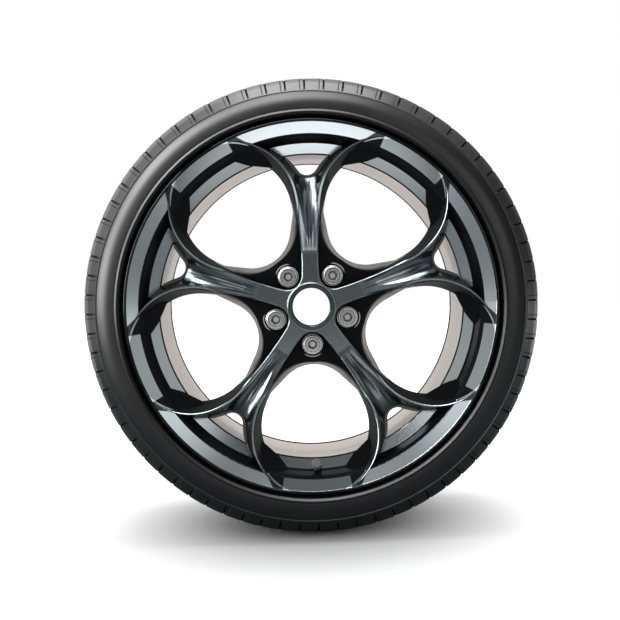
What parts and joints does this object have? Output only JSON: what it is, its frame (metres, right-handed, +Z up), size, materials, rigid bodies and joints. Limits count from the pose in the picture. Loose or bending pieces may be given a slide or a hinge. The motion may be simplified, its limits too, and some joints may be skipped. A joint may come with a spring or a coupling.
{
  "type": "wheel and tyre assembly",
  "caption": "Cast alloy car wheel with large round openings between forked spokes, a low-profile tyre, wheel bolts on the hub and a tyre valve with a pressure sensor.",
  "frame": {"origin": "on the spin axis, halfway between the rim's two flanges", "axes": "+Y along the spin axis toward the car, outer face toward -Y, +Z up"},
  "size_m": [0.6542, 0.2486, 0.654],
  "materials": {
    "wheel_gunmetal": "gloss gunmetal lacquer over cast aluminium",
    "tyre": "satin black rubber",
    "bolt_steel": "zinc-plated steel",
    "cap_plastic": "moulded dark grey plastic",
    "valve_nickel": "nickel-plated brass",
    "core_brass": "plain turned brass",
    "seal_rubber": "moulded black rubber",
    "sensor_plastic": "moulded black plastic"
  },
  "bodies": {
    "wheel": {"alloy_wheel": "wheel_gunmetal", "tyre": "tyre", "valve_stem": "valve_nickel", "valve_washer": "valve_nickel", "valve_nut": "valve_nickel", "valve_grommet": "seal_rubber", "valve_core_body": "core_brass", "valve_core_seal": "seal_rubber", "valve_core_spring": "bolt_steel", "pressure_sensor": "sensor_plastic", "sensor_screw": "bolt_steel", "wheel_bolt_1": "bolt_steel", "bolt_collar_1": "bolt_steel", "wheel_bolt_2": "bolt_steel", "bolt_collar_2": "bolt_steel", "wheel_bolt_3": "bolt_steel", "bolt_collar_3": "bolt_steel", "wheel_bolt_4": "bolt_steel", "bolt_collar_4": "bolt_steel", "wheel_bolt_5": "bolt_steel", "bolt_collar_5": "bolt_steel"},
    "seal": {"cap_seal": "seal_rubber"},
    "cap": {"valve_cap": "cap_plastic"},
    "pin": {"valve_core_pin": "core_brass"}
  },
  "joints": [
    {"name": "cap_lift", "type": "slide", "parent": "wheel", "child": "seal", "axis": [0, -0.9397, 0.342], "range_m": [0, 0.00397]},
    {"name": "cap_turn", "type": "hinge", "parent": "seal", "child": "cap", "pos_m": [0, -0.07951, -0.22737], "axis": [0, -0.9397, 0.342], "range_deg": [0, 1800]},
    {"name": "pin_push", "type": "slide", "parent": "wheel", "child": "pin", "axis": [0, 0.9397, -0.342], "range_m": [0, 0.0015], "stiffness_N_per_m": 500, "deforming": ["valve_core_spring"]}
  ],
  "couplings": [
    {"joint": "cap_turn", "follows": "cap_lift", "rad_per_m": 7913.3}
  ]
}
